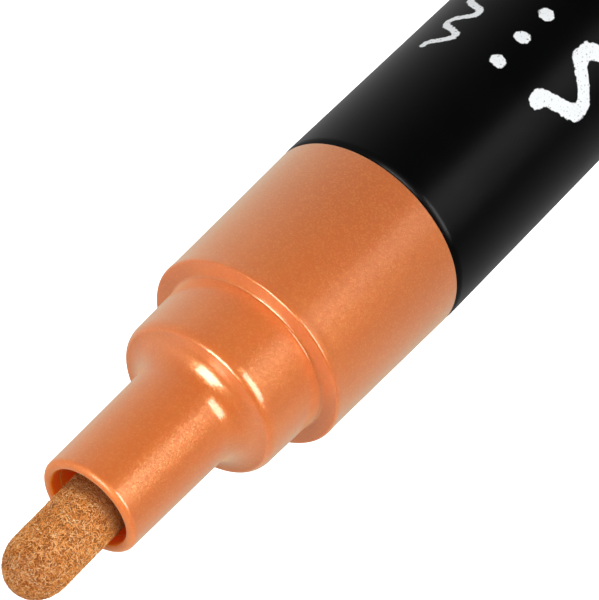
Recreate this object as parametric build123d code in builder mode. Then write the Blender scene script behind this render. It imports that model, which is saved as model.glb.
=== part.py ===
import os
from math import cos, pi, sin, sqrt

from build123d import *

# A pump-action liquid chalk marker that stands on its posted cap, nib up.
# Millimetres. The axis is Z, and z = 0 is the flat end of the cap.

# Barrel
barrel_radius = 8.5
barrel_wall = 1.3
barrel_length = 88.0
barrel_front_round = 0.45
barrel_rear_round = 0.3

# Front section, outside: grip step, collar and nib tube, each with moulding draft
grip_length = 14.2
grip_step_down = 0.06
grip_draft = 0.34
grip_edge_round = 0.15
collar_length = 5.7
collar_step_share = 0.353
collar_draft = 0.16
collar_edge_round = 0.36
collar_root_round = 0.2
tube_length = 11.9
tube_draft = 0.19
tube_root_round_share = 0.49
lip_wall = 0.75
lip_outer_round_share = 0.58
lip_inner_round_share = 0.36

# Front section, inside: mouth, nib guide with its air channels, and valve chamber
mouth_clearance = 0.85
mouth_depth = 4.0
mouth_step = 0.08
mouth_step_depth = 1.05
guide_clearance = 0.2
channel_count = 4
channel_radius = 0.35
spigot_wall = 1.7
groove_share = 0.55
groove_setback = 2.6

# Nib
nib_radius = 2.43
nib_reach = 8.1
nib_rear_chamfer = 0.3

# Pump valve
pump_stroke = 3.0
valve_reach = 3.2
seat_plate = 2.0
skirt_wall_share = 0.2
bypass_share = 0.27
seat_hole_share = 0.65
rod_share = 0.62
pin_share = 0.77
seal_thickness = 1.0
head_thickness = 1.4
flange_thickness = 1.2
flange_inset = 0.3
gasket_thickness = 0.6
cup_wall = 1.1
cup_base = 1.5
cup_depth = 3.0
cup_gap = 0.5
cup_flow_gap = 0.8
cup_slot_count = 4
cup_slot_width = 1.0
stroke_room = 2.3

# Valve spring and its retainer
spring_length = 7.3
spring_wire = 0.5
spring_turns = 5
spring_pin_gap = 0.6
retainer_thickness = 1.5
retainer_inset = 0.8
pin_engagement = 1.0
port_count = 6
port_share = 0.6

# Mixing balls, side by side on the tail plug
ball_gap = 0.3
ball_side_gap = 1.05
ball_rest_gap = 0.1

# Tail plug
plug_length = 8.0
plug_floor = 1.8
plug_wall = 1.6

# Cap
cap_end_wall = 1.6
cap_draft = 0.35
cap_ledge = 0.35
cap_relief = 0.3
cap_end_round = 1.2
cap_rim_round = 0.25
liner_floor = 1.2
liner_wall = 0.7
liner_grip = 5.5
liner_ring_height = 2.5
liner_clearance = 0.05
tip_room = 2.5

# Fits
press_clearance = 0.02
pin_clearance = 0.06
cap_clearance = 0.05
rim_gap = 0.05
seat_gap = 0.02

# Radii worked out from the nib outwards
guide_radius = nib_radius + guide_clearance
mouth_radius = nib_radius + mouth_clearance
tube_lip_radius = mouth_radius + lip_wall
tube_root_radius = tube_lip_radius + tube_draft
cup_bore_radius = nib_radius + press_clearance
cup_radius = cup_bore_radius + cup_wall
cup_room_radius = cup_radius + cup_flow_gap

# Radii worked out from the barrel inwards. The collar stands between the grip step and the tube.
bore_radius = barrel_radius - barrel_wall
spigot_radius = bore_radius - press_clearance
grip_root_radius = barrel_radius - grip_step_down
grip_front_radius = grip_root_radius - grip_draft
collar_root_radius = grip_front_radius - (grip_front_radius - tube_root_radius) * collar_step_share
collar_front_radius = collar_root_radius - collar_draft
tube_root_round = (collar_front_radius - tube_root_radius) * tube_root_round_share
chamber_radius = spigot_radius - spigot_wall
groove_depth = spigot_wall * groove_share
ring_wire_radius = (groove_depth - press_clearance) / 2

# Valve radii, worked out from the chamber inwards
body_radius = chamber_radius - press_clearance
skirt_bore_radius = body_radius * (1 - skirt_wall_share)
seal_radius = skirt_bore_radius * (1 - bypass_share)
seat_hole_radius = seal_radius * seat_hole_share
rod_radius = seat_hole_radius * rod_share
pin_radius = rod_radius * pin_share
flange_radius = spigot_radius - flange_inset
spring_radius = pin_radius + spring_pin_gap + spring_wire / 2
retainer_radius = skirt_bore_radius - press_clearance
port_ring_radius = (spring_radius + spring_wire / 2 + retainer_radius) / 2
port_radius = (retainer_radius - spring_radius - spring_wire / 2) * port_share / 2
ball_radius = (bore_radius - ball_side_gap - ball_gap / 2) / 2

# Heights along the axis, from the cap's end up to the nib's tip
cap_length = collar_length + tube_length + nib_reach + tip_room + liner_floor + cap_end_wall
tail_z = cap_length + rim_gap
front_z = tail_z + barrel_length
collar_z = front_z + grip_length
tube_z = collar_z + collar_length
lip_z = tube_z + tube_length
mouth_z = lip_z - mouth_depth
tip_z = lip_z + nib_reach

# Heights of the valve, from the seat plate backwards and forwards
plate_front_z = front_z + valve_reach
plate_rear_z = plate_front_z - seat_plate
head_front_z = plate_rear_z - seat_gap - seal_thickness
head_rear_z = head_front_z - head_thickness
retainer_front_z = head_rear_z - spring_length
retainer_rear_z = retainer_front_z - retainer_thickness
pin_end_z = retainer_front_z - pin_engagement
flange_rear_z = retainer_rear_z - retainer_inset
flange_front_z = flange_rear_z + flange_thickness
spigot_rear_z = flange_front_z + gasket_thickness
cup_bottom_z = plate_front_z + pump_stroke + stroke_room
nib_rear_z = cup_bottom_z + cup_base
cup_front_z = nib_rear_z + cup_depth
guide_z = cup_front_z + cup_gap
groove_z = spigot_rear_z + groove_setback

os.makedirs("parts", exist_ok=True)


def ring_edge(builder, radius, height):
    rings = builder.edges().filter_by(GeomType.CIRCLE)
    return min(rings, key=lambda e: abs(e.radius - radius) + abs(e.arc_center.Z - height))


# Barrel: a straight black tube, open at both ends
with BuildPart() as barrel:
    with BuildSketch(Plane.XY.offset(tail_z)):
        Circle(barrel_radius)
        Circle(bore_radius, mode=Mode.SUBTRACT)
    extrude(amount=barrel_length)
    fillet(ring_edge(barrel, barrel_radius, front_z), radius=barrel_front_round)
    fillet(ring_edge(barrel, barrel_radius, tail_z), radius=barrel_rear_round)
barrel.part.label = "barrel"
export_step(barrel.part, "parts/barrel.step")

# Front section: one stepped moulding with a spigot that is pressed into the barrel
with BuildPart() as front_section:
    with BuildSketch(Plane.XZ):
        with BuildLine():
            Polyline(
                (chamber_radius, spigot_rear_z),
                (spigot_radius, spigot_rear_z),
                (spigot_radius, front_z),
                (grip_root_radius, front_z),
                (grip_front_radius, collar_z),
                (collar_root_radius, collar_z),
                (collar_front_radius, tube_z),
                (tube_root_radius, tube_z),
                (tube_lip_radius, lip_z),
                (mouth_radius, lip_z),
                (mouth_radius, lip_z - mouth_step_depth),
                (mouth_radius - mouth_step, lip_z - mouth_step_depth),
                (mouth_radius - mouth_step, mouth_z),
                (guide_radius, mouth_z),
                (guide_radius, guide_z),
                (cup_room_radius, guide_z),
                (cup_room_radius, plate_front_z),
                (chamber_radius, plate_front_z),
                close=True,
            )
        make_face()
    revolve(axis=Axis.Z)
    fillet(ring_edge(front_section, tube_lip_radius, lip_z), radius=lip_wall * lip_outer_round_share)
    fillet(ring_edge(front_section, mouth_radius, lip_z), radius=lip_wall * lip_inner_round_share)
    fillet(ring_edge(front_section, tube_root_radius, tube_z), radius=tube_root_round)
    fillet(ring_edge(front_section, collar_front_radius, tube_z), radius=collar_edge_round)
    fillet(ring_edge(front_section, collar_root_radius, collar_z), radius=collar_root_round)
    fillet(ring_edge(front_section, grip_front_radius, collar_z), radius=grip_edge_round)
    with BuildSketch(Plane.XY.offset(groove_z)):
        Circle(spigot_radius)
        Circle(spigot_radius - groove_depth, mode=Mode.SUBTRACT)
    extrude(amount=groove_depth, mode=Mode.SUBTRACT)
    with BuildSketch(Plane.XY.offset(guide_z)):
        with PolarLocations(guide_radius, channel_count):
            Circle(channel_radius)
    extrude(amount=mouth_z - guide_z, mode=Mode.SUBTRACT)
front_section.part.label = "front_section"
export_step(front_section.part, "parts/front_section.step")

# O-ring in the spigot's groove, squeezed between the groove floor and the barrel's bore
with BuildPart() as section_o_ring:
    with Locations((0, 0, groove_z + groove_depth / 2)):
        Torus(spigot_radius - groove_depth / 2, ring_wire_radius)
section_o_ring.part.label = "section_o_ring"
export_step(section_o_ring.part, "parts/section_o_ring.step")

# Nib: a fibre rod with a round tip and a bevelled rear end
with BuildPart() as nib:
    with BuildSketch(Plane.XZ):
        with BuildLine():
            Polyline(
                (0, tip_z),
                (0, nib_rear_z),
                (nib_radius - nib_rear_chamfer, nib_rear_z),
                (nib_radius, nib_rear_z + nib_rear_chamfer),
                (nib_radius, tip_z - nib_radius),
            )
            RadiusArc((nib_radius, tip_z - nib_radius), (0, tip_z), -nib_radius)
        make_face()
    revolve(axis=Axis.Z)
nib.part.label = "nib"
export_step(nib.part, "parts/nib.step")

# Valve body: a cup with the seat plate in front and a flange behind
with BuildPart() as valve_body:
    with BuildSketch(Plane.XZ):
        with BuildLine():
            Polyline(
                (skirt_bore_radius, flange_rear_z),
                (flange_radius, flange_rear_z),
                (flange_radius, flange_front_z),
                (body_radius, flange_front_z),
                (body_radius, plate_front_z),
                (seat_hole_radius, plate_front_z),
                (seat_hole_radius, plate_rear_z),
                (skirt_bore_radius, plate_rear_z),
                close=True,
            )
        make_face()
    revolve(axis=Axis.Z)
valve_body.part.label = "valve_body"
export_step(valve_body.part, "parts/valve_body.step")

# Gasket between the valve body's flange and the front section's spigot
with BuildPart() as valve_gasket:
    with BuildSketch(Plane.XY.offset(flange_front_z)):
        Circle(flange_radius)
        Circle(chamber_radius, mode=Mode.SUBTRACT)
    extrude(amount=gasket_thickness)
valve_gasket.part.label = "valve_gasket"
export_step(valve_gasket.part, "parts/valve_gasket.step")

# Valve stem: nib socket, rod through the seat, sealing head and guide pin
with BuildPart() as valve_stem:
    with BuildSketch(Plane.XZ):
        with BuildLine():
            Polyline(
                (0, pin_end_z),
                (pin_radius, pin_end_z),
                (pin_radius, head_rear_z),
                (seal_radius, head_rear_z),
                (seal_radius, head_front_z),
                (rod_radius, head_front_z),
                (rod_radius, cup_bottom_z),
                (cup_radius, cup_bottom_z),
                (cup_radius, cup_front_z),
                (cup_bore_radius, cup_front_z),
                (cup_bore_radius, nib_rear_z),
                (0, nib_rear_z),
                close=True,
            )
        make_face()
    revolve(axis=Axis.Z)
    # Slots in the socket's wall let the ink reach the nib
    with BuildSketch(Plane.XY.offset(nib_rear_z)):
        with PolarLocations(cup_radius, cup_slot_count):
            Rectangle(cup_radius, cup_slot_width)
    extrude(amount=cup_depth / 2, mode=Mode.SUBTRACT)
valve_stem.part.label = "valve_stem"
export_step(valve_stem.part, "parts/valve_stem.step")

# Seal washer on the stem's head
with BuildPart() as stem_seal:
    with BuildSketch(Plane.XY.offset(head_front_z)):
        Circle(seal_radius)
        Circle(rod_radius + press_clearance, mode=Mode.SUBTRACT)
    extrude(amount=seal_thickness)
stem_seal.part.label = "stem_seal"
export_step(stem_seal.part, "parts/stem_seal.step")

# Spring: its rise over a quarter turn, and the point and direction at any quarter
coil_low_z = retainer_front_z + spring_wire / 2
quarter_rise = (spring_length - spring_wire) / (spring_turns * 4)


def coil_point(quarter):
    angle = quarter * pi / 2
    return Vector(spring_radius * cos(angle), spring_radius * sin(angle), coil_low_z + quarter_rise * quarter)


def coil_direction(quarter):
    angle = quarter * pi / 2
    along = spring_radius * pi / 2
    return Vector(-along * sin(angle), along * cos(angle), quarter_rise).normalized()


# Each quarter turn is two arcs that share a tangent where they meet
with BuildPart() as valve_spring:
    with BuildLine() as coil:
        for quarter in range(spring_turns * 4):
            start, start_way = coil_point(quarter), coil_direction(quarter)
            end, end_way = coil_point(quarter + 1), coil_direction(quarter + 1)
            chord = end - start
            spread = 2 * (1 - start_way.dot(end_way))
            lean = chord.dot(start_way + end_way)
            reach = (sqrt(lean**2 + spread * chord.dot(chord)) - lean) / spread
            before = start + start_way * reach
            after = end - end_way * reach
            middle = (before + after) * 0.5
            TangentArc(start, middle, tangent=start_way)
            TangentArc(middle, end, tangent=after - before)
    with BuildSketch(Plane(origin=coil_point(0), z_dir=coil_direction(0))):
        Circle(spring_wire / 2)
    sweep()
valve_spring.part.label = "valve_spring"
export_step(valve_spring.part, "parts/valve_spring.step")

# Least gap between neighbouring turns, measured on points along the coil
samples_per_turn = 24
coil_points = [coil_point(4 * n / samples_per_turn) for n in range(spring_turns * samples_per_turn + 1)]
least_gap = min(
    (second - first).length - spring_wire
    for n, first in enumerate(coil_points)
    for second in coil_points[n + samples_per_turn // 2:]
)
print("spring: least gap between turns", round(least_gap, 3), "mm")

# Spring retainer: a ported plug that guides the stem's pin
with BuildPart() as spring_retainer:
    with BuildSketch(Plane.XY.offset(retainer_rear_z)):
        Circle(retainer_radius)
        Circle(pin_radius + pin_clearance, mode=Mode.SUBTRACT)
        with PolarLocations(port_ring_radius, port_count):
            Circle(port_radius, mode=Mode.SUBTRACT)
    extrude(amount=retainer_thickness)
spring_retainer.part.label = "spring_retainer"
export_step(spring_retainer.part, "parts/spring_retainer.step")

# Tail plug: closes the barrel, and its spigot has the collar's taper so that the cap fits both
with BuildPart() as tail_plug:
    with BuildSketch(Plane.XZ):
        with BuildLine():
            Polyline(
                (0, tail_z + plug_length),
                (spigot_radius, tail_z + plug_length),
                (spigot_radius, tail_z),
                (collar_root_radius, tail_z),
                (collar_front_radius, tail_z - collar_length),
                (collar_front_radius - plug_wall, tail_z - collar_length),
                (collar_front_radius - plug_wall, tail_z + plug_length - plug_floor),
                (0, tail_z + plug_length - plug_floor),
                close=True,
            )
        make_face()
    revolve(axis=Axis.Z)
    fillet(ring_edge(tail_plug, collar_front_radius, tail_z - collar_length), radius=collar_edge_round)
tail_plug.part.label = "tail_plug"
export_step(tail_plug.part, "parts/tail_plug.step")

# Mixing balls: loose in the ink, resting on the tail plug when the marker stands
ball_z = tail_z + plug_length + ball_rest_gap + ball_radius
ball_offset = ball_radius + ball_gap / 2
with BuildPart() as mixing_ball_a:
    with Locations((-ball_offset, 0, ball_z)):
        Sphere(ball_radius)
mixing_ball_a.part.label = "mixing_ball_a"
export_step(mixing_ball_a.part, "parts/mixing_ball_a.step")

with BuildPart() as mixing_ball_b:
    with Locations((ball_offset, 0, ball_z)):
        Sphere(ball_radius)
mixing_ball_b.part.label = "mixing_ball_b"
export_step(mixing_ball_b.part, "parts/mixing_ball_b.step")

# Cap shell: posted on the tail, its mouth tapered like the collar
seat_depth = collar_length + cap_relief
seat_rim_radius = collar_root_radius + cap_clearance
seat_floor_radius = seat_rim_radius - collar_draft * seat_depth / collar_length
cap_bore_radius = collar_front_radius - cap_ledge
cap_end_radius = grip_front_radius - cap_draft
with BuildPart() as cap_shell:
    with BuildSketch(Plane.XZ):
        with BuildLine():
            Polyline(
                (0, 0),
                (cap_end_radius, 0),
                (grip_front_radius, cap_length),
                (seat_rim_radius, cap_length),
                (seat_floor_radius, cap_length - seat_depth),
                (cap_bore_radius, cap_length - seat_depth),
                (cap_bore_radius, cap_end_wall),
                (0, cap_end_wall),
                close=True,
            )
        make_face()
    revolve(axis=Axis.Z)
    fillet(ring_edge(cap_shell, cap_end_radius, 0), radius=cap_end_round)
    fillet(ring_edge(cap_shell, grip_front_radius, cap_length), radius=cap_rim_round)
cap_shell.part.label = "cap_shell"
export_step(cap_shell.part, "parts/cap_shell.step")

# Cap liner: a cup that closes round the nib tube, held in the shell by its ring
liner_bore_radius = tube_root_radius + liner_clearance
liner_ring_radius = cap_bore_radius - press_clearance
liner_radius = liner_bore_radius + liner_wall
liner_mouth_z = cap_length - collar_length - tube_length + liner_grip
with BuildPart() as cap_liner:
    with BuildSketch(Plane.XZ):
        with BuildLine():
            Polyline(
                (0, cap_end_wall),
                (liner_radius, cap_end_wall),
                (liner_radius, liner_mouth_z - liner_ring_height),
                (liner_ring_radius, liner_mouth_z - liner_ring_height),
                (liner_ring_radius, liner_mouth_z),
                (liner_bore_radius, liner_mouth_z),
                (liner_bore_radius, cap_end_wall + liner_floor),
                (0, cap_end_wall + liner_floor),
                close=True,
            )
        make_face()
    revolve(axis=Axis.Z)
cap_liner.part.label = "cap_liner"
export_step(cap_liner.part, "parts/cap_liner.step")
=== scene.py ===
import math

import bmesh
import bpy
from mathutils import Matrix, Vector, noise


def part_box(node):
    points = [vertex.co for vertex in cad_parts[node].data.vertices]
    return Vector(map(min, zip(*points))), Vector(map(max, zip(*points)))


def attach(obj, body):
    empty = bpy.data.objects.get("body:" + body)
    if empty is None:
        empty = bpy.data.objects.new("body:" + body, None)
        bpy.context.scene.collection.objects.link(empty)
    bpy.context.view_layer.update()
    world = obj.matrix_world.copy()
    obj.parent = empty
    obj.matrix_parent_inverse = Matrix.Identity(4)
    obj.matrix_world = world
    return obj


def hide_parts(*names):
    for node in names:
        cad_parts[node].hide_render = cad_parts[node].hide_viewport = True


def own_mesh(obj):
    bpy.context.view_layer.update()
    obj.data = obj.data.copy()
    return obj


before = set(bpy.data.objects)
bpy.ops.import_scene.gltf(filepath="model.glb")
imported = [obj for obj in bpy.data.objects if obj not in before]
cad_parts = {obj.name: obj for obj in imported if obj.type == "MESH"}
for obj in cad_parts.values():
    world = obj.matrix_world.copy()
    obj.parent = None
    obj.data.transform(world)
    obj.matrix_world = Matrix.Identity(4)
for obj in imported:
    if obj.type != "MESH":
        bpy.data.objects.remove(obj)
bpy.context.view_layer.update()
scene = bpy.context.scene
mm = 0.001  # sizes below are in millimetres


def lowEnd(node):
    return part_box(node)[0].z / mm


def highEnd(node):
    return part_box(node)[1].z / mm


# Node helpers: inputs that are sockets get linked, the others get set
def put(tree, kind, inputs=None, **settings):
    node = tree.nodes.new(kind)
    for name, value in settings.items():
        setattr(node, name, value)
    for name, value in (inputs or {}).items():
        if isinstance(value, bpy.types.NodeSocket):
            tree.links.new(value, node.inputs[name])
        else:
            node.inputs[name].default_value = value
    return node


def maths(tree, operation, *values, clamp=False):
    node = put(tree, "ShaderNodeMath", dict(enumerate(values)), operation=operation, use_clamp=clamp)
    return node.outputs[0]


# two values multiplied, with a third added where there is one
def times(tree, *values):
    return maths(tree, "MULTIPLY" if len(values) == 2 else "MULTIPLY_ADD", *values)


def vectorMaths(tree, operation, *values):
    outputs = put(tree, "ShaderNodeVectorMath", dict(enumerate(values)), operation=operation).outputs
    return outputs["Value" if operation in ("LENGTH", "DOT_PRODUCT") else "Vector"]


def partsOf(tree, vector):
    return put(tree, "ShaderNodeSeparateXYZ", {0: vector}).outputs


def joined(tree, x=0.0, y=0.0, z=0.0):
    return put(tree, "ShaderNodeCombineXYZ", {0: x, 1: y, 2: z}).outputs[0]


def ease(tree, value, start, end, low=0.0, high=1.0):
    inputs = {"Value": value, "From Min": start, "From Max": end, "To Min": low, "To Max": high}
    return put(tree, "ShaderNodeMapRange", inputs, interpolation_type="SMOOTHSTEP").outputs[0]


def tint(tree, factor, first, second):
    return put(tree, "ShaderNodeMix", {0: factor, 6: first, 7: second}, data_type="RGBA").outputs[2]


def ramp(tree, factor, stops):
    node = put(tree, "ShaderNodeValToRGB", {0: factor})
    band = node.color_ramp
    while len(band.elements) < len(stops):
        band.elements.new(0.5)
    for element, (place, colour) in zip(band.elements, stops):
        element.position = place
        element.color = colour
    return node.outputs[0]


def grey(value):
    return (value, value, value, 1)


# A pattern in the dictionaries below is a noise's size, detail and roughness
def noiseAt(tree, vector, size, detail=2.0, rough=0.5):
    inputs = {"Vector": vector, "Scale": 1 / size, "Detail": detail, "Roughness": rough}
    return put(tree, "ShaderNodeTexNoise", inputs).outputs[0]


def patches(tree, place, pattern, reach, share=1.0):
    return ease(tree, noiseAt(tree, place, *pattern), *reach, 0.0, share)


# a noise that swings as far below zero as above it
def unevenness(tree, place, pattern, swing):
    return times(tree, noiseAt(tree, place, *pattern), swing, -swing / 2)


def inMillimetres(tree):
    place = put(tree, "ShaderNodeTexCoord").outputs["Object"]
    return put(tree, "ShaderNodeVectorMath", {0: place, "Scale": 1 / mm}, operation="SCALE").outputs[0]


def bump(tree, height, strength):
    return put(tree, "ShaderNodeBump", {"Height": height, "Strength": strength, "Distance": mm}).outputs[0]


def newMaterial(name, **plain):
    material = bpy.data.materials.new(name)
    material.use_nodes = True
    tree = material.node_tree
    shader = tree.nodes["Principled BSDF"]
    for socket, value in plain.items():
        shader.inputs[socket.replace("_", " ")].default_value = value
    return material, tree, shader


def wire(tree, shader, **sockets):
    for name, value in sockets.items():
        tree.links.new(value, shader.inputs[name.replace("_", " ")])


# light that enters a plastic and comes out again nearby
def glowOf(look):
    return {
        "Subsurface_Weight": look["glowShare"], "Subsurface_Radius": look["glow"],
        "Subsurface_Scale": look["glowReach"] * mm}


def newGroup(name, inputs, outputs):
    tree = bpy.data.node_groups.new(name, "ShaderNodeTree")
    for way, sockets in (("INPUT", inputs), ("OUTPUT", outputs)):
        for socket, kind in sockets.items():
            tree.interface.new_socket(socket, in_out=way, socket_type="NodeSocket" + kind)
    return tree, tree.nodes.new("NodeGroupInput").outputs, tree.nodes.new("NodeGroupOutput").inputs


def useGroup(tree, group, inputs):
    return put(tree, "ShaderNodeGroup", inputs, node_tree=group).outputs


# Spark-eroded mould skin: fine grain over a slow unevenness
mouldSkin = {
    "fineDetail": 3.0, "fineDepth": 0.01, "fineShare": 0.6,
    "slowSize": 3.5, "slowDetail": 1.0, "slowShare": 0.4,
}


def makeMouldGrain():
    skin = mouldSkin
    tree, given, out = newGroup(
        "mouldGrain", {"Place": "Vector", "Grain Size": "Float", "Waviness": "Float"},
        {"Height": "Float", "Tone": "Float"})
    scale = maths(tree, "DIVIDE", 1.0, given["Grain Size"])
    fine = put(tree, "ShaderNodeTexNoise", {
        "Vector": given["Place"], "Scale": scale, "Detail": skin["fineDetail"]}).outputs[0]
    slow = noiseAt(tree, given["Place"], skin["slowSize"], skin["slowDetail"])
    lift = times(tree, slow, given["Waviness"])
    tree.links.new(times(tree, fine, skin["fineDepth"], lift), out["Height"])
    cloudy = times(tree, slow, skin["slowShare"])
    tree.links.new(times(tree, fine, skin["fineShare"], cloudy), out["Tone"])
    return tree


# Handling: hair scratches that cross the piece, in a few rubbed patches
handling = {
    "layers": ((0.5, 9.2), (2.1, 12.4), (1.2, 6.8)),  # turn in radians, and lines in a millimetre
    "turnShares": (1.0, 0.7, 1.9),  # how much of the turn is about x, y and z
    "stretch": 0.06,
    "hairWidth": 0.0035,
    "patchPattern": (6.0, 2.0),
    "patchRange": (0.52, 0.68),
}


def makeHandlingMarks():
    look = handling
    tree, given, out = newGroup("handlingMarks", {"Place": "Vector", "Amount": "Float"}, {"Mask": "Float"})
    layers = []
    for turn, lines in look["layers"]:
        turned = put(tree, "ShaderNodeMapping", {
            "Vector": given["Place"], "Rotation": [turn * share for share in look["turnShares"]],
            "Scale": (1.0, 1.0, look["stretch"])}).outputs[0]
        line = noiseAt(tree, turned, 1 / lines, 0.0)
        near = maths(tree, "ABSOLUTE", maths(tree, "SUBTRACT", line, 0.5))
        layers.append(ease(tree, near, look["hairWidth"], 0.0))
    most = maths(tree, "MAXIMUM", maths(tree, "MAXIMUM", layers[0], layers[1]), layers[2])
    patch = patches(tree, given["Place"], look["patchPattern"], look["patchRange"])
    scratches = times(tree, most, patch)
    tree.links.new(times(tree, scratches, given["Amount"]), out["Mask"])
    return tree


# Flow of the melt along the moulding, as slow streaks in line with the axis
meltFlow = {"stretch": 0.16, "detail": 2.0, "swirl": 0.4}


def makeFlowStreaks():
    tree, given, out = newGroup("flowStreaks", {"Place": "Vector", "Width": "Float"}, {"Tone": "Float"})
    wide = maths(tree, "DIVIDE", 1.0, given["Width"])
    drawn = put(tree, "ShaderNodeMapping", {
        "Vector": given["Place"], "Scale": (1.0, 1.0, meltFlow["stretch"])}).outputs[0]
    streak = put(tree, "ShaderNodeTexNoise", {
        "Vector": drawn, "Scale": wide, "Detail": meltFlow["detail"], "Distortion": meltFlow["swirl"]})
    tree.links.new(streak.outputs[0], out["Tone"])
    return tree


mouldGrain = makeMouldGrain()
handlingMarks = makeHandlingMarks()
flowStreaks = makeFlowStreaks()
print("shared finishes: mould grain, handling marks, flow streaks")


def grainOf(tree, place, look):
    inputs = {"Place": place, "Grain Size": look["grainSize"], "Waviness": look["waviness"]}
    return useGroup(tree, mouldGrain, inputs)


def marksOf(tree, place, look):
    return useGroup(tree, handlingMarks, {"Place": place, "Amount": look["marks"]})["Mask"]


def streakyResin(tree, place, look):
    streaks = useGroup(tree, flowStreaks, {"Place": place, "Width": look["streakWidth"]})["Tone"]
    return tint(tree, ease(tree, streaks, *look["streakRange"]), look["shade"], look["resin"])


def dulled(tree, grain, look):
    return times(tree, grain["Tone"], look["grainDull"], look["roughness"])


def mouldedFinish(tree, shader, look, grain, colour):
    wire(
        tree, shader, Base_Color=colour, Roughness=dulled(tree, grain, look),
        Normal=bump(tree, grain["Height"], look["bump"]))


# Copper pearl plastic: orange resin full of tiny flakes that each face their own way
copperPearl = {
    "resin": (0.80, 0.152, 0.005, 1),
    "shade": (0.76, 0.138, 0.004, 1),
    "streakWidth": 1.6,
    "streakRange": (0.35, 0.65),
    # painted shade: a darker copper towards the barrel, where less light falls
    "fallOffShadeResin": (0.60, 0.096, 0.003, 1),
    "fallOffFrom": 137.0,
    "fallOffFull": 121.0,
    "fallOffShare": 0.75,
    "flake": (0.95, 0.34, 0.07, 1),
    "flakeSize": 0.10,
    "flakeTilt": 0.13,
    "flakeShare": 0.32,
    "sparkFrom": 0.55,
    "glow": (1.0, 0.28, 0.06),
    "glowReach": 0.9,
    "glowShare": 0.6,
    "metallic": 0.12,
    "gloss": 0.8,
    "glossIndex": 2.0,
    "glossTint": (1.0, 0.65, 0.30, 1),
    "roughness": 0.27,  # the grain adds to it; where the sum is under 0.275, dark specks can show
    "grainDull": 0.05,
    "grainSize": 0.3,
    "waviness": 0.03,
    "bump": 1.0,
    "coat": 1.0,
    "coatIndex": 1.7,
    "coatRoughness": 0.15,
    "sheen": 0.56,
    "sheenRoughness": 0.62,
    "sheenTint": (1.0, 0.76, 0.45, 1),
    "marks": 0.2,
    "markDull": 0.2,
    "markFade": 0.3,
    "rubbedFrom": 0.42,
    "rubbedFull": 0.24,
    "rubbedDull": 0.25,
    "rubbedFade": 0.65,
    "partingTurn": math.radians(30),
    "partingWidth": 0.05,
    "partingDepth": 0.012,
    "partingFrom": 3.7,
    "partingTo": 4.4,
}


# faint seam of the mould's two halves along the nib tube
def partingLine(tree, place):
    look = copperPearl
    axes = partsOf(tree, place)
    across = times(tree, axes[0], math.cos(look["partingTurn"]))
    side = times(tree, axes[1], math.sin(look["partingTurn"]), across)
    seam = ease(tree, maths(tree, "ABSOLUTE", side), look["partingWidth"], 0.0)
    radius = vectorMaths(tree, "LENGTH", joined(tree, axes[0], axes[1]))
    outside = maths(tree, "GREATER_THAN", radius, look["partingFrom"])
    onTube = times(tree, outside, maths(tree, "LESS_THAN", radius, look["partingTo"]))
    return times(tree, seam, onTube)


def makeCopperPearl():
    look = copperPearl
    material, tree, shader = newMaterial(
        "copperPearl", Metallic=look["metallic"], IOR=look["glossIndex"],
        Specular_IOR_Level=look["gloss"], Specular_Tint=look["glossTint"],
        Coat_Roughness=look["coatRoughness"], Coat_IOR=look["coatIndex"],
        Sheen_Weight=look["sheen"], Sheen_Roughness=look["sheenRoughness"], Sheen_Tint=look["sheenTint"],
        **glowOf(look))
    place = inMillimetres(tree)
    # each flake is a cell with a slope of its own
    cells = put(tree, "ShaderNodeTexVoronoi", {"Vector": place, "Scale": 1 / look["flakeSize"]}).outputs
    lean = vectorMaths(tree, "SUBTRACT", cells["Color"], (0.5, 0.5, 0.5))
    away = vectorMaths(tree, "SUBTRACT", place, cells["Position"])
    facet = times(tree, vectorMaths(tree, "DOT_PRODUCT", away, lean), look["flakeTilt"])
    pick = put(tree, "ShaderNodeSeparateColor", {0: cells["Color"]}).outputs[0]
    spark = times(tree, ease(tree, pick, look["sparkFrom"], 1.0), look["flakeShare"])
    # painted shade: the copper is painted darker from the collar back towards the barrel, where less light
    # falls on it
    height = partsOf(tree, place)[2]
    fallOffShade = ease(tree, height, look["fallOffFrom"], look["fallOffFull"], 0.0, look["fallOffShare"])
    resin = tint(tree, fallOffShade, streakyResin(tree, place, look), look["fallOffShadeResin"])
    # the lip is rubbed dull
    lip = highEnd("front_section")
    rubbed = ease(tree, height, lip - look["rubbedFrom"], lip - look["rubbedFull"])
    grain = grainOf(tree, place, look)
    marks = marksOf(tree, place, look)
    rough = times(tree, marks, look["markDull"], dulled(tree, grain, look))
    polish = times(tree, marks, -look["markFade"], look["coat"])
    skin = maths(tree, "ADD", facet, grain["Height"])
    groove = times(tree, partingLine(tree, place), -look["partingDepth"], skin)
    wire(
        tree, shader, Base_Color=tint(tree, spark, resin, look["flake"]),
        Roughness=times(tree, rubbed, look["rubbedDull"], rough),
        Coat_Weight=times(tree, rubbed, -look["rubbedFade"], polish),
        Normal=bump(tree, groove, look["bump"]))
    return material


# Inside of the mouth: unpolished, thin enough for light to come through its wall, and painted a brighter
# resin than the outside to lift the shade inside the mouth
mouthBore = {
    "resin": (0.99, 0.33, 0.035, 1), "shade": copperPearl["shade"], "shadeShare": 0.4,
    "glow": (1.0, 0.30, 0.04), "glowReach": 2.6, "glowShare": 0.9,
    "gloss": 0.2, "roughness": 0.4, "grainDull": 0.2, "grainSize": 0.2, "waviness": 0.01, "bump": 0.8,
}


def makeMouthBore():
    look = mouthBore
    material, tree, shader = newMaterial("mouthBore", Specular_IOR_Level=look["gloss"], **glowOf(look))
    grain = grainOf(tree, inMillimetres(tree), look)
    shade = times(tree, grain["Tone"], look["shadeShare"])
    mouldedFinish(tree, shader, look, grain, tint(tree, shade, look["resin"], look["shade"]))
    return material


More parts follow.
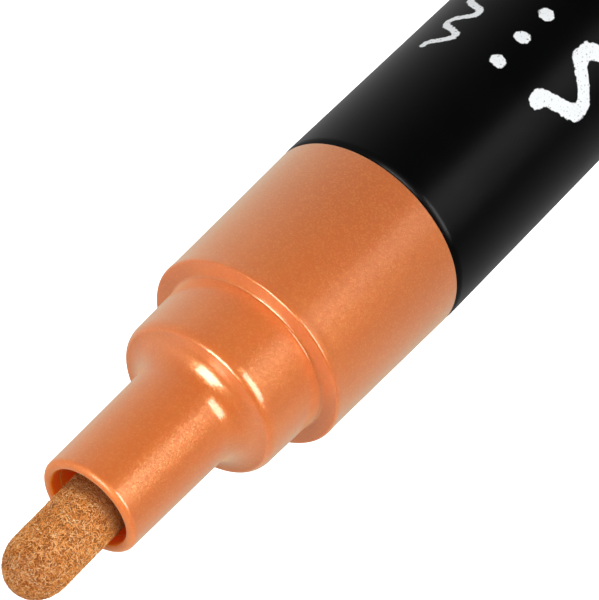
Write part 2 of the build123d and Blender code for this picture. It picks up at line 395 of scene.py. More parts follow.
# Satin black barrel with a plain chalk-white print: a bold wave, a fine wave and a row of dots
satinBlack = {
    "resin": (0.0005, 0.0005, 0.0006, 1),
    "rubbed": (0.003, 0.003, 0.003, 1),
    "rubbedShare": 0.25,
    "gloss": 0.22,
    "roughness": 0.26, "grainDull": 0.12, "markDull": 0.15, "printDull": 0.2,
    "brushed": 0.72, "brushTurn": 0.25,
    "grainSize": 0.11, "waviness": 0.004, "marks": 0.7, "bump": 0.6,
    "print": (0.80, 0.82, 0.83, 1),
    "printRise": 0.012, "printEnd": 76.6, "endFade": 0.2, "strokeEdge": 0.05,
    "wobble": 0.5, "wobblePattern": (0.45, 3.0, 0.7),
    "crumbPattern": (0.16, 2.0, 0.6), "crumbRange": (0.3, 0.36),
    "boldWave": {"across": -3.2, "start": 14.0, "swing": 1.5, "pitch": 6.4, "width": 1.35},
    "fineWave": {"across": 7.6, "start": 13.0, "swing": 0.9, "pitch": 3.2, "width": 0.6},
    "dots": {"across": 2.4, "start": 12.6, "pitch": 3.2, "radius": 0.62},
}


# ink within a radius of a point, with a soft and uneven edge
def inked(tree, radius, along, side, wobble):
    edge = satinBlack["strokeEdge"]
    squares = times(tree, along, along, times(tree, side, side))
    away = maths(tree, "ADD", maths(tree, "SQRT", squares), wobble)
    return ease(tree, away, radius + edge, radius - edge)


# a stroke with round ends: past its start and end it is measured from the end point
def printWave(tree, wave, around, behind, wobble):
    begun = maths(tree, "MAXIMUM", behind, wave["start"])
    along = maths(tree, "MINIMUM", begun, satinBlack["printEnd"])
    past = maths(tree, "SUBTRACT", along, behind)
    run = maths(tree, "SUBTRACT", along, wave["start"])
    turn = times(tree, run, 2 * math.pi / wave["pitch"])
    middle = times(tree, maths(tree, "COSINE", turn), wave["swing"], wave["across"])
    apart = maths(tree, "SUBTRACT", around, middle)
    # a steep stretch is measured square to the line, so the stroke keeps its width
    steep = 2 * math.pi * wave["swing"] / wave["pitch"]
    rise = times(tree, maths(tree, "SINE", turn), steep)
    square = maths(tree, "SQRT", times(tree, rise, rise, 1.0))
    return inked(tree, wave["width"] / 2, past, maths(tree, "DIVIDE", apart, square), wobble)


def printDots(tree, dots, around, behind, wobble):
    along = maths(tree, "SUBTRACT", behind, dots["start"])
    inCell = maths(tree, "FLOORED_MODULO", along, dots["pitch"])
    step = maths(tree, "SUBTRACT", inCell, dots["pitch"] / 2)
    side = maths(tree, "SUBTRACT", around, dots["across"])
    spot = inked(tree, dots["radius"], step, side, wobble)
    return times(tree, spot, ease(tree, along, 0.0, 2 * satinBlack["strokeEdge"]))


def makeSatinBlack():
    look = satinBlack
    material, tree, shader = newMaterial(
        "satinBlack", Specular_IOR_Level=look["gloss"], Anisotropic=look["brushed"],
        Anisotropic_Rotation=look["brushTurn"])
    # fine marks run round the barrel, so its sheen is drawn out along it
    roundBarrel = put(tree, "ShaderNodeTangent", direction_type="RADIAL", axis="Z").outputs[0]
    place = inMillimetres(tree)
    axes = partsOf(tree, place)
    angle = maths(tree, "ARCTAN2", axes[0], times(tree, axes[1], -1.0))
    around = times(tree, angle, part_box("barrel")[1].x / mm)
    behind = maths(tree, "SUBTRACT", highEnd("barrel"), axes[2])
    wobble = unevenness(tree, place, look["wobblePattern"], look["wobble"])
    bold = printWave(tree, look["boldWave"], around, behind, wobble)
    fine = printWave(tree, look["fineWave"], around, behind, wobble)
    dots = printDots(tree, look["dots"], around, behind, wobble)
    strokes = maths(tree, "MAXIMUM", maths(tree, "MAXIMUM", bold, fine), dots)
    crumbs = patches(tree, place, look["crumbPattern"], look["crumbRange"])
    ended = ease(tree, behind, look["printEnd"], look["printEnd"] - look["endFade"])
    printed = times(tree, strokes, times(tree, crumbs, ended))
    grain = grainOf(tree, place, look)
    marks = marksOf(tree, place, look)
    dusty = times(tree, grain["Tone"], look["rubbedShare"])
    dark = tint(tree, dusty, look["resin"], look["rubbed"])
    worn = tint(tree, marks, dark, look["rubbed"])
    rough = times(tree, marks, look["markDull"], dulled(tree, grain, look))
    height = times(tree, printed, look["printRise"], grain["Height"])
    wire(
        tree, shader, Base_Color=tint(tree, printed, worn, look["print"]),
        Roughness=times(tree, printed, look["printDull"], rough),
        Normal=bump(tree, height, look["bump"]), Tangent=roundBarrel)
    return material


# Nib felt: ink-soaked copper fibres over a matted core that is painted darker, as painted shade in the
# gaps between the fibres
nibFelt = {
    # painted shade: the darkest core colour stands for the shade between the fibres
    "shadedCore": (0.16, 0.040, 0.004, 1),
    "wetAndShaded": (0.26, 0.066, 0.004, 1),
    "soaked": (0.33, 0.088, 0.007, 1),
    "middle": (0.78, 0.265, 0.036, 1),
    "bright": (0.95, 0.42, 0.095, 1),
    "pale": (1.0, 0.72, 0.38, 1),
    "coreStops": ((0.3, "shadedCore"), (0.5, "soaked"), (0.75, "middle")),
    "corePattern": (0.22, 4.0, 0.65),
    "coreGloss": 0.2, "coreRoughness": 0.5, "coreDepth": 0.12, "coreBump": 1.0,
    "fibreStops": ((0.0, "soaked"), (0.4, "middle"), (0.75, "bright"), (1.0, "pale")),
    "fibrePattern": (0.06, 2.0),
    "fibreGloss": 0.45, "fibreRoughness": 0.3, "fibreDepth": 0.02, "fibreBump": 0.8,
    "dullSpread": 0.3,
    "patchSwing": 0.3, "patchPattern": (0.9, 2.0),
    "inkShadeSwing": 0.8, "inkShadePattern": (0.7, 2.0),
    # painted shade of the lip over the nib's root, with ink there too
    "lipShadeFrom": 152.0, "lipShadeFull": 150.8, "lipShadeShare": 0.8,
    "wornFrom": 155.8, "wornFull": 158.4, "wornShare": 0.30,
}


# painted shade of the lip, together with ink welling up, darkens the nib where it leaves the mouth, and
# writing has darkened the tip a little
def inkAndLipShade(tree, place):
    look = nibFelt
    height = partsOf(tree, place)[2]
    level = maths(tree, "ADD", height, unevenness(tree, place, look["inkShadePattern"], look["inkShadeSwing"]))
    # painted shade: the lip's shadow on the nib's root, painted all round
    root = ease(tree, level, look["lipShadeFrom"], look["lipShadeFull"], 0.0, look["lipShadeShare"])
    tip = ease(tree, level, look["wornFrom"], look["wornFull"], 0.0, look["wornShare"])
    return maths(tree, "ADD", root, tip)


def feltColour(tree, place, tone, stops):
    felt = ramp(tree, tone, [(share, nibFelt[colour]) for share, colour in stops])
    return tint(tree, inkAndLipShade(tree, place), felt, nibFelt["wetAndShaded"])


# the core is painted darker than the fibres, standing in for the shade in the gaps between them
def makeNibCoreFelt():
    look = nibFelt
    material, tree, shader = newMaterial("nibCoreFelt", Specular_IOR_Level=look["coreGloss"])
    place = inMillimetres(tree)
    mat = noiseAt(tree, place, *look["corePattern"])
    wire(
        tree, shader, Base_Color=feltColour(tree, place, mat, look["coreStops"]),
        Roughness=times(tree, mat, look["dullSpread"], look["coreRoughness"]),
        Normal=bump(tree, times(tree, mat, look["coreDepth"]), look["coreBump"]))
    return material


def makeNibFibre():
    look = nibFelt
    material, tree, shader = newMaterial("nibFibre", Specular_IOR_Level=look["fibreGloss"])
    place = inMillimetres(tree)
    tone = put(tree, "ShaderNodeAttribute", attribute_name="fibreTone").outputs["Fac"]
    patch = unevenness(tree, place, look["patchPattern"], look["patchSwing"])
    mixed = maths(tree, "ADD", tone, patch, clamp=True)
    fine = noiseAt(tree, place, *look["fibrePattern"])
    wire(
        tree, shader, Base_Color=feltColour(tree, place, mixed, look["fibreStops"]),
        Roughness=times(tree, fine, look["dullSpread"], look["fibreRoughness"]),
        Normal=bump(tree, times(tree, fine, look["fibreDepth"]), look["fibreBump"]))
    return material


# Moulded natural plastic of the valve pieces
valvePlastic = {
    "resin": (0.78, 0.78, 0.75, 1), "shade": (0.66, 0.65, 0.60, 1), "inkStain": (0.62, 0.27, 0.09, 1),
    "streakWidth": 1.2, "streakRange": (0.3, 0.7),
    "stainPattern": (1.6, 3.0, 0.6), "stainRange": (0.56, 0.72), "stainShare": 0.55,
    "glow": (1.0, 0.8, 0.6), "glowReach": 0.8, "glowShare": 0.15,
    "roughness": 0.3, "grainDull": 0.2, "grainSize": 0.2, "waviness": 0.01, "bump": 0.7,
}


def makeValvePlastic():
    look = valvePlastic
    material, tree, shader = newMaterial("valvePlastic", **glowOf(look))
    place = inMillimetres(tree)
    stain = patches(tree, place, look["stainPattern"], look["stainRange"], look["stainShare"])
    colour = tint(tree, stain, streakyResin(tree, place, look), look["inkStain"])
    mouldedFinish(tree, shader, look, grainOf(tree, place, look), colour)
    return material


# Cap liner: milky soft plastic with ink rubbed off inside it
linerPlastic = {
    "resin": (0.76, 0.76, 0.73, 1), "shade": (0.60, 0.60, 0.56, 1), "inkStain": (0.70, 0.30, 0.11, 1),
    "streakWidth": 2.0, "streakRange": (0.3, 0.7),
    "stainPattern": (1.4, 3.0, 0.6), "stainRange": (0.42, 0.66), "stainFrom": 14.0, "stainFull": 4.0,
    "glow": (1.0, 0.9, 0.8), "glowReach": 1.2, "glowShare": 0.4,
    "roughness": 0.32, "grainDull": 0.2, "grainSize": 0.25, "waviness": 0.02, "bump": 0.5,
}


def makeLinerPlastic():
    look = linerPlastic
    material, tree, shader = newMaterial("linerPlastic", **glowOf(look))
    place = inMillimetres(tree)
    low = ease(tree, partsOf(tree, place)[2], look["stainFrom"], look["stainFull"])
    patch = patches(tree, place, look["stainPattern"], look["stainRange"])
    stain = times(tree, low, patch)
    colour = tint(tree, stain, streakyResin(tree, place, look), look["inkStain"])
    mouldedFinish(tree, shader, look, grainOf(tree, place, look), colour)
    return material


# Black nitrile of the seals
sealRubber = {
    "rubber": (0.018, 0.018, 0.019, 1), "bloom": (0.06, 0.058, 0.055, 1),
    "bloomPattern": (0.9, 4.0, 0.65), "bloomRange": (0.45, 0.75), "sheen": 0.15, "sheenRoughness": 0.6,
    "roughness": 0.5, "grainDull": 0.25, "grainSize": 0.15, "waviness": 0.02, "bump": 1.0,
}


def makeSealRubber():
    look = sealRubber
    material, tree, shader = newMaterial(
        "sealRubber", Sheen_Weight=look["sheen"], Sheen_Roughness=look["sheenRoughness"])
    place = inMillimetres(tree)
    bloom = patches(tree, place, look["bloomPattern"], look["bloomRange"])
    colour = tint(tree, bloom, look["rubber"], look["bloom"])
    mouldedFinish(tree, shader, look, grainOf(tree, place, look), colour)
    return material


# Drawn spring wire and polished mixing balls, both stainless steel
steel = {"bright": (0.66, 0.66, 0.67, 1), "dull": (0.42, 0.41, 0.40, 1)}
springWire = {
    "lineStretch": 9.0, "linePattern": (0.35, 3.0, 0.6), "lineRange": (0.4, 0.7),
    "roughness": 0.18, "lineDull": 0.25, "lineDepth": 0.01, "bump": 0.6,
}
ballSteel = {
    "marks": 1.0, "filmPattern": (1.8, 3.0, 0.55), "filmRange": (0.45, 0.75), "filmShare": 0.5,
    "roughness": 0.08, "wornDull": 0.3, "markDepth": 0.004, "bump": 0.5,
}


def makeSpringWire():
    look = springWire
    material, tree, shader = newMaterial("springWire", Metallic=1.0)
    drawn = put(tree, "ShaderNodeMapping", {
        "Vector": inMillimetres(tree), "Scale": (1.0, 1.0, look["lineStretch"])}).outputs[0]
    lines = noiseAt(tree, drawn, *look["linePattern"])
    wire(
        tree, shader,
        Base_Color=tint(tree, ease(tree, lines, *look["lineRange"]), steel["bright"], steel["dull"]),
        Roughness=times(tree, lines, look["lineDull"], look["roughness"]),
        Normal=bump(tree, times(tree, lines, look["lineDepth"]), look["bump"]))
    return material


def makeBallSteel():
    look = ballSteel
    material, tree, shader = newMaterial("ballSteel", Metallic=1.0)
    place = inMillimetres(tree)
    marks = marksOf(tree, place, look)
    film = patches(tree, place, look["filmPattern"], look["filmRange"], look["filmShare"])
    worn = maths(tree, "MAXIMUM", marks, film)
    wire(
        tree, shader, Base_Color=tint(tree, worn, steel["bright"], steel["dull"]),
        Roughness=times(tree, worn, look["wornDull"], look["roughness"]),
        Normal=bump(tree, times(tree, marks, -look["markDepth"]), look["bump"]))
    return material


materials = {
    "copper_plastic": makeCopperPearl(),
    "black_plastic": makeSatinBlack(),
    "nib_fibre": makeNibCoreFelt(),
    "white_plastic": makeValvePlastic(),
    "liner_plastic": makeLinerPlastic(),
    "seal_rubber": makeSealRubber(),
    "spring_steel": makeSpringWire(),
    "ball_steel": makeBallSteel(),
}
fibreMaterial = makeNibFibre()
boreMaterial = makeMouthBore()
print("materials:", len(materials) + 2)

# Turned shapes: a line of corners, some rounded, swept round the axis
turning = {"segments": 192, "hold": 0.025, "sharpAngle": math.radians(32), "onAxis": 1e-6}


def corner(radius, height, back=0.0, ahead=None, steps=8):
    return Vector((radius, height)), back, back if ahead is None else ahead, steps


# A round is a quarter ellipse that leaves one leg at back and joins the next at ahead,
# with a ring just outside each end to keep the flats flat
def roundedLine(corners):
    points = []
    for i, (place, back, ahead, steps) in enumerate(corners):
        if not back:
            points.append(place)
            continue
        backLeg = (corners[i - 1][0] - place).normalized()
        aheadLeg = (corners[(i + 1) % len(corners)][0] - place).normalized()
        points.append(place + backLeg * (back + turning["hold"]))
        for n in range(steps + 1):
            turn = math.pi / 2 * n / steps
            onBack = backLeg * back * (1 - math.sin(turn))
            onAhead = aheadLeg * ahead * (1 - math.cos(turn))
            points.append(place + onBack + onAhead)
        points.append(place + aheadLeg * (ahead + turning["hold"]))
    return points


def turnedPiece(name, points, closed=True, shape=None, segments=turning["segments"]):
    work = bmesh.new()
    rings = []
    for place in points:
        if place.x < turning["onAxis"]:
            rings.append([work.verts.new((0, 0, place.y * mm))])
            continue
        ring = []
        for n in range(segments):
            angle = 2 * math.pi * n / segments
            spot = Vector((place.x * math.cos(angle), place.x * math.sin(angle), place.y))
            ring.append(work.verts.new((shape(spot) if shape else spot) * mm))
        rings.append(ring)
    pairs = list(zip(rings, rings[1:]))
    if closed:
        pairs.append((rings[-1], rings[0]))
    for lower, upper in pairs:
        for n in range(segments):
            ends = [lower[n % len(lower)], lower[(n + 1) % segments % len(lower)],
                    upper[(n + 1) % segments % len(upper)], upper[n % len(upper)]]
            face = list(dict.fromkeys(ends))
            if len(face) > 2:
                work.faces.new(face)
    bmesh.ops.recalc_face_normals(work, faces=work.faces)
    for edge in work.edges:
        edge.smooth = edge.calc_face_angle(0) < turning["sharpAngle"]
    return pieceFrom(name, work)


def pieceFrom(name, work):
    for face in work.faces:
        face.smooth = True
    mesh = bpy.data.meshes.new(name)
    work.to_mesh(mesh)
    work.free()
    return inScene(name, mesh)


def inScene(name, data):
    item = bpy.data.objects.new(name, data)
    scene.collection.objects.link(item)
    return item


def dress(piece, slot):
    piece.data.materials.clear()
    piece.data.materials.append(materials[slot])


# Barrel: straight black tube with a soft front edge
barrelTube = {
    "radius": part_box("barrel")[1].x / mm, "wall": 1.3,
    "frontRound": 0.65, "rearRound": 0.3, "boreRound": 0.08,
}


def makeBarrelTube():
    size = barrelTube
    low, high = lowEnd("barrel"), highEnd("barrel")
    inner = size["radius"] - size["wall"]
    piece = turnedPiece("barrelTube", roundedLine([
        corner(inner, low, size["boreRound"]),
        corner(size["radius"], low, size["rearRound"]),
        corner(size["radius"], high, size["frontRound"], steps=16),
        corner(inner, high, size["boreRound"])]))
    dress(piece, "black_plastic")
    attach(piece, "barrel")
    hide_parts("barrel")


# Front section: grip step, collar, nib tube with its rolled mouth, and the bores behind it
frontMoulding = {
    "gripRoot": 8.47, "rootEdge": 0.12, "gripFront": 8.12, "gripEnd": 133.25, "gripEdge": 0.16,
    "gripBead": 0.045, "beadWidth": 1.0, "beadPeakShare": 0.45, "beadFall": 0.02,
    "beadFootRound": 0.25, "beadPeakRound": 0.2,
    "collarRoot": 6.73, "collarFront": 6.57, "collarEnd": 138.95,
    "collarEdge": 0.40, "collarEase": 0.85, "collarFoot": 0.22,
    "tubeRoot": 4.22, "tubeFront": 4.03, "filletOut": 1.90, "filletUp": 1.90,
    "lipOuter": 0.43, "lipCrownShare": 0.98, "lipInner": 0.27, "boreEdgeShare": 0.25,
    "mouth": 3.28, "mouthStep": 3.20, "stepBelowLip": 1.05, "stepEdge": 0.03,
    "mouthDepth": 4.0, "ledgeRound": 0.1,
    "guide": 2.63, "guideRear": 132.55, "guideMouth": 2.95, "taperFrom": 139.0,
    "channels": 4, "channelRadius": 0.35, "channelSlack": 1e-4,
    "cupRoom": 4.35, "plateFront": 122.25, "chamber": 5.48, "chamberRound": 0.1,
    "spigot": 7.18, "spigotRear": 110.03, "spigotRound": 0.25, "grooveLow": 112.63, "grooveDepth": 0.935,
}


# air channels of the guide, cut outwards from its bore
def guideChannels(spot):
    size = frontMoulding
    radius = math.hypot(spot.x, spot.y)
    if radius > size["guideMouth"] + size["channelSlack"]:
        return spot
    step = 2 * math.pi / size["channels"]
    angle = math.atan2(spot.y, spot.x)
    off = (angle + step / 2) % step - step / 2
    side = radius * math.sin(off)
    if abs(side) >= size["channelRadius"]:
        return spot
    depth = math.sqrt(size["channelRadius"] ** 2 - side ** 2)
    grown = (radius + depth) / radius
    return Vector((spot.x * grown, spot.y * grown, spot.z))


def makeFrontMoulding():
    size = frontMoulding
    root, lip = highEnd("barrel"), highEnd("front_section")
    step = lip - size["stepBelowLip"]
    ledge = lip - size["mouthDepth"]
    bead = size["gripFront"] + size["gripBead"]
    beadFoot = size["gripEnd"] - size["beadWidth"]
    beadPeak = size["gripEnd"] - size["beadWidth"] * size["beadPeakShare"]
    lipCrown = size["lipOuter"] * size["lipCrownShare"]
    groove = size["spigot"] - size["grooveDepth"]
    grooveHigh = size["grooveLow"] + size["grooveDepth"]
    piece = turnedPiece("frontMoulding", roundedLine([
        corner(size["chamber"], size["spigotRear"], size["chamberRound"]),
        corner(size["spigot"], size["spigotRear"], size["spigotRound"]),
        corner(size["spigot"], size["grooveLow"]),
        corner(groove, size["grooveLow"]),
        corner(groove, grooveHigh),
        corner(size["spigot"], grooveHigh),
        corner(size["spigot"], root),
        corner(size["gripRoot"], root, size["rootEdge"]),
        corner(size["gripFront"] + size["beadFall"], beadFoot, size["beadFootRound"]),
        corner(bead, beadPeak, size["beadPeakRound"]),
        corner(bead - size["beadFall"], size["gripEnd"], size["gripEdge"]),
        corner(size["collarRoot"], size["gripEnd"], size["collarFoot"]),
        corner(size["collarFront"], size["collarEnd"], size["collarEase"], size["collarEdge"], steps=16),
        corner(size["tubeRoot"], size["collarEnd"], size["filletOut"], size["filletUp"], steps=24),
        corner(size["tubeFront"], lip, size["lipOuter"], lipCrown, steps=12),
        corner(size["mouth"], lip, size["lipInner"], steps=10),
        corner(size["mouth"], step, size["stepEdge"]),
        corner(size["mouthStep"], step, size["stepEdge"]),
        corner(size["mouthStep"], ledge, size["ledgeRound"]),
        corner(size["guideMouth"], ledge),
        corner(size["guide"], size["taperFrom"]),
        corner(size["guide"], size["guideRear"]),
        corner(size["cupRoom"], size["guideRear"]),
        corner(size["cupRoom"], size["plateFront"]),
        corner(size["chamber"], size["plateFront"])]), shape=guideChannels)
    dress(piece, "copper_plastic")
    piece.data.materials.append(boreMaterial)
    # the bore's finish takes in a little of the lip's round
    boreEdge = size["mouth"] + size["lipInner"] * size["boreEdgeShare"]
    for face in piece.data.polygons:
        middle = face.center / mm
        inBore = math.hypot(middle.x, middle.y) < boreEdge
        face.material_index = int(inBore and middle.z > size["guideRear"])
    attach(piece, "barrel")
    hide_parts("front_section")


# Tail plug: closes the barrel, and its tapered spigot takes the posted cap
tailMoulding = {
    "root": 6.73, "end": 6.57, "plug": 7.18, "wall": 1.6, "floor": 1.8,
    "edge": 0.36, "plugRound": 0.3, "recessEdge": 0.2, "floorRound": 0.4,
}


def makeTailMoulding():
    size = tailMoulding
    low, high, tail = lowEnd("tail_plug"), highEnd("tail_plug"), lowEnd("barrel")
    recess = size["end"] - size["wall"]
    floor = high - size["floor"]
    piece = turnedPiece("tailMoulding", roundedLine([
        corner(0, high),
        corner(size["plug"], high, size["plugRound"]),
        corner(size["plug"], tail),
        corner(size["root"], tail),
        corner(size["end"], low, size["edge"], steps=10),
        corner(recess, low, size["recessEdge"]),
        corner(recess, floor, size["floorRound"]),
        corner(0, floor)]), closed=False)
    dress(piece, "copper_plastic")
    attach(piece, "barrel")
    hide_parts("tail_plug")


# Cap: slim drafted shell with a soft end and a gate dimple in its middle
capMoulding = {
    "end": 7.75, "rim": 8.10, "endRound": 1.2, "rimRound": 0.25, "endWall": 1.6, "bore": 6.22,
    "seatRim": 6.78, "seatFloor": 6.611, "seatDepth": 6.0, "seatRound": 0.2, "seatStep": 0.15,
    "dimple": 1.6, "dimpleDepth": 0.35, "dimpleRound": 0.15,
    "gate": 0.45, "gateDepthShare": 0.4, "gateRound": 0.08,
}


def makeCapMoulding():
    size = capMoulding
    rim = highEnd("cap_shell")
    gateEnd = size["dimpleDepth"] * size["gateDepthShare"]
    piece = turnedPiece("capMoulding", roundedLine([
        corner(0, gateEnd),
        corner(size["gate"], gateEnd, size["gateRound"]),
        corner(size["gate"], size["dimpleDepth"], size["gateRound"]),
        corner(size["dimple"], size["dimpleDepth"], size["dimpleRound"]),
        corner(size["dimple"], 0, size["dimpleRound"]),
        corner(size["end"], 0, size["endRound"], steps=16),
        corner(size["rim"], rim, size["rimRound"], steps=10),
        corner(size["seatRim"], rim, size["seatRound"]),
        corner(size["seatFloor"], rim - size["seatDepth"]),
        corner(size["bore"], rim - size["seatDepth"], size["seatStep"]),
        corner(size["bore"], size["endWall"]),
        corner(0, size["endWall"])]), closed=False)
    dress(piece, "copper_plastic")
    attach(piece, "cap")
    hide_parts("cap_shell")


# Liner: soft cup that seals round the nib tube
linerCup = {
    "bore": 4.27, "wall": 0.7, "ring": 6.20, "ringHeight": 2.5, "floor": 1.2, "endRound": 0.3,
    "neckRound": 0.2, "ringFoot": 0.15, "ringRound": 0.25, "mouthRound": 0.45, "floorRound": 0.6,
}


def makeLinerCup():
    size = linerCup
    low, mouth = lowEnd("cap_liner"), highEnd("cap_liner")
    outer = size["bore"] + size["wall"]
    ringLow = mouth - size["ringHeight"]
    piece = turnedPiece("linerCup", roundedLine([
        corner(0, low),
        corner(outer, low, size["endRound"]),
        corner(outer, ringLow, size["neckRound"]),
        corner(size["ring"], ringLow, size["ringFoot"]),
        corner(size["ring"], mouth, size["ringRound"]),
        corner(size["bore"], mouth, size["mouthRound"]),
        corner(size["bore"], low + size["floor"], size["floorRound"]),
        corner(0, low + size["floor"])]), closed=False)
    dress(piece, "liner_plastic")
    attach(piece, "cap")
    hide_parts("cap_liner")


# Nib: a matted bullet that leans a little in its guide, covered in short fibres
nibBullet = {
    "radius": 2.43, "tipRadius": 2.36, "tipHeight": 2.7, "rearChamfer": 0.3,
    "reach": 0.095,  # the fibres and lumps stand this far proud of the core
    "lean": 0.0148, "leanFrom": 135.0,
    "lump": 0.02, "lumpSize": 0.55, "fineLump": 2.3, "fineLumpShare": 0.5,
    "rings": 110, "tipSteps": 40, "segments": 144,
    "fibreLength": 0.33, "fibreThick": 0.085, "fibreTilt": 0.13,
    "frontDensity": 75.0, "rearDensity": 6.0, "frontFrom": 148.5, "seed": 7,
}
nibTip = highEnd("nib")


def nibLean(spot):
    size = nibBullet
    grid = spot / size["lumpSize"]
    share = noise.noise(grid) + size["fineLumpShare"] * noise.noise(grid * size["fineLump"])
    outward = Vector((spot.x, spot.y, max(0.0, spot.z - nibTip + size["tipHeight"])))
    lumpy = spot + outward.normalized() * (share * size["lump"])
    lumpy.x -= max(0.0, spot.z - size["leanFrom"]) * size["lean"]
    return lumpy


def makeNibBullet():
    size = nibBullet
    rear = lowEnd("nib")
    shoulder = nibTip - size["reach"] - size["tipHeight"]
    start = rear + size["rearChamfer"]
    points = [Vector((0, rear)), Vector((size["radius"] - size["rearChamfer"], rear))]
    for n in range(size["rings"] + 1):
        part = n / size["rings"]
        radius = size["radius"] + (size["tipRadius"] - size["radius"]) * part
        points.append(Vector((radius, start + (shoulder - start) * part)))
    for n in range(1, size["tipSteps"] + 1):
        turn = math.pi / 2 * n / size["tipSteps"]
        height = shoulder + size["tipHeight"] * math.sin(turn)
        points.append(Vector((size["tipRadius"] * math.cos(turn), height)))
    points[-1].x = 0
    piece = turnedPiece("nibBullet", points, closed=False, shape=nibLean, segments=size["segments"])
    dress(piece, "nib_fibre")
    return piece


# One bowed fibre on each point of the core, turned at random and dipping in at both ends
fibreBow = {
    "dipShare": 0.07, "archShare": 1.3, "bendShare": 0.2, "smoothness": 4, "points": 3, "sides": 3,
    "leastSize": (0.55, 0.7, 0.7), "mostSize": (1.3, 1.25, 1.25),
    "turnSeed": 11, "sizeSeed": 12, "toneSeed": 13,
}
fibreInputs = {
    "Core": "Geometry", "Length": "Float", "Thickness": "Float", "Tilt": "Float", "Front Density": "Float",
    "Rear Density": "Float", "Front From": "Float", "Seed": "Int", "Fibre Material": "Material",
}


def makeFibreTree():
    look = fibreBow
    tree = bpy.data.node_groups.new("nibFibreTree", "GeometryNodeTree")
    face = tree.interface
    face.new_socket("Geometry", in_out="OUTPUT", socket_type="NodeSocketGeometry")
    sockets = {}
    for name, kind in fibreInputs.items():
        sockets[name] = face.new_socket(name, in_out="INPUT", socket_type="NodeSocket" + kind).identifier
    given = tree.nodes.new("NodeGroupInput").outputs
    out = tree.nodes.new("NodeGroupOutput").inputs
    height = partsOf(tree, put(tree, "GeometryNodeInputPosition").outputs[0])[2]
    inFront = maths(tree, "GREATER_THAN", height, given["Front From"])
    extra = maths(tree, "SUBTRACT", given["Front Density"], given["Rear Density"])
    density = times(tree, inFront, extra, given["Rear Density"])
    inputs = {"Mesh": given["Core"], "Density": density, "Seed": given["Seed"]}
    spread = put(tree, "GeometryNodeDistributePointsOnFaces", inputs, distribute_method="RANDOM").outputs
    half = times(tree, given["Length"], 0.5)
    dip = times(tree, given["Length"], -look["dipShare"])
    bend = times(tree, half, look["bendShare"])
    arch = times(tree, dip, -look["archShare"])
    bow = put(tree, "GeometryNodeCurveQuadraticBezier", {
        "Resolution": look["smoothness"],
        "Start": joined(tree, times(tree, half, -1.0), 0.0, dip),
        "Middle": joined(tree, 0.0, bend, arch),
        "End": joined(tree, half, 0.0, dip)}).outputs[0]
    bent = put(tree, "GeometryNodeResampleCurve", {"Curve": bow, "Count": look["points"]}).outputs[0]
    section = put(tree, "GeometryNodeCurvePrimitiveCircle", {
        "Resolution": look["sides"], "Radius": times(tree, given["Thickness"], 0.5)}).outputs[0]
    fibre = put(tree, "GeometryNodeCurveToMesh", {
        "Curve": bent, "Profile Curve": section, "Fill Caps": True}).outputs[0]
    back = times(tree, given["Tilt"], -1.0)
    swing = put(tree, "FunctionNodeRandomValue", {
        0: joined(tree, back, back, -math.pi), 1: joined(tree, given["Tilt"], given["Tilt"], math.pi),
        "Seed": look["turnSeed"]}, data_type="FLOAT_VECTOR").outputs[0]
    turn = put(tree, "FunctionNodeEulerToRotation", {0: swing}).outputs[0]
    facing = put(tree, "FunctionNodeRotateRotation", {
        0: spread["Rotation"], 1: turn}, rotation_space="LOCAL").outputs[0]
    inputs = {0: look["leastSize"], 1: look["mostSize"], "Seed": look["sizeSeed"]}
    grown = put(tree, "FunctionNodeRandomValue", inputs, data_type="FLOAT_VECTOR").outputs[0]
    placed = put(tree, "GeometryNodeInstanceOnPoints", {
        "Points": spread["Points"], "Instance": fibre, "Rotation": facing, "Scale": grown}).outputs[0]
    tone = put(tree, "FunctionNodeRandomValue", {
        2: 0.0, 3: 1.0, "Seed": look["toneSeed"]}, data_type="FLOAT").outputs[1]
    inputs = {"Geometry": placed, "Name": "fibreTone", "Value": tone}
    toned = put(
        tree, "GeometryNodeStoreNamedAttribute", inputs, data_type="FLOAT", domain="INSTANCE").outputs[0]
    real = put(tree, "GeometryNodeRealizeInstances", {"Geometry": toned}).outputs[0]
    done = put(tree, "GeometryNodeSetMaterial", {"Geometry": real, "Material": given["Fibre Material"]})
    tree.links.new(done.outputs[0], out[0])
    return tree, sockets


def makeNibFibres(core):
    size = nibBullet
    tree, sockets = makeFibreTree()
    carrier = inScene("nibFibreCarrier", core.data.copy())
    modifier = carrier.modifiers.new("fibres", "NODES")
    modifier.node_group = tree
    perSquareMetre = 1 / mm ** 2
    values = {
        "Length": size["fibreLength"] * mm, "Thickness": size["fibreThick"] * mm,
        "Tilt": size["fibreTilt"],
        "Front Density": size["frontDensity"] * perSquareMetre,
        "Rear Density": size["rearDensity"] * perSquareMetre,
        "Front From": size["frontFrom"] * mm, "Seed": size["seed"], "Fibre Material": fibreMaterial}
    for name, value in values.items():
        modifier[sockets[name]] = value
    carrier.update_tag()
    bpy.context.view_layer.update()
    graph = bpy.context.evaluated_depsgraph_get()
    shown = carrier.evaluated_get(graph)
    mesh = bpy.data.meshes.new_from_object(shown, preserve_all_data_layers=True, depsgraph=graph)
    mesh.name = "nibFibres"
    mesh.materials.clear()
    mesh.materials.append(fibreMaterial)
    bpy.data.objects.remove(carrier)
    for face in mesh.polygons:
        face.material_index = 0
        face.use_smooth = True
    piece = inScene("nibFibres", mesh)
    print("nib fibres:", len(mesh.polygons), "faces")
    return piece


# Valve spring: the coil as a piece of its own, held with the barrel; in the real marker it shortens
# towards its retainer as the nib is pressed
valveCoil = {"weld": 0.0001}


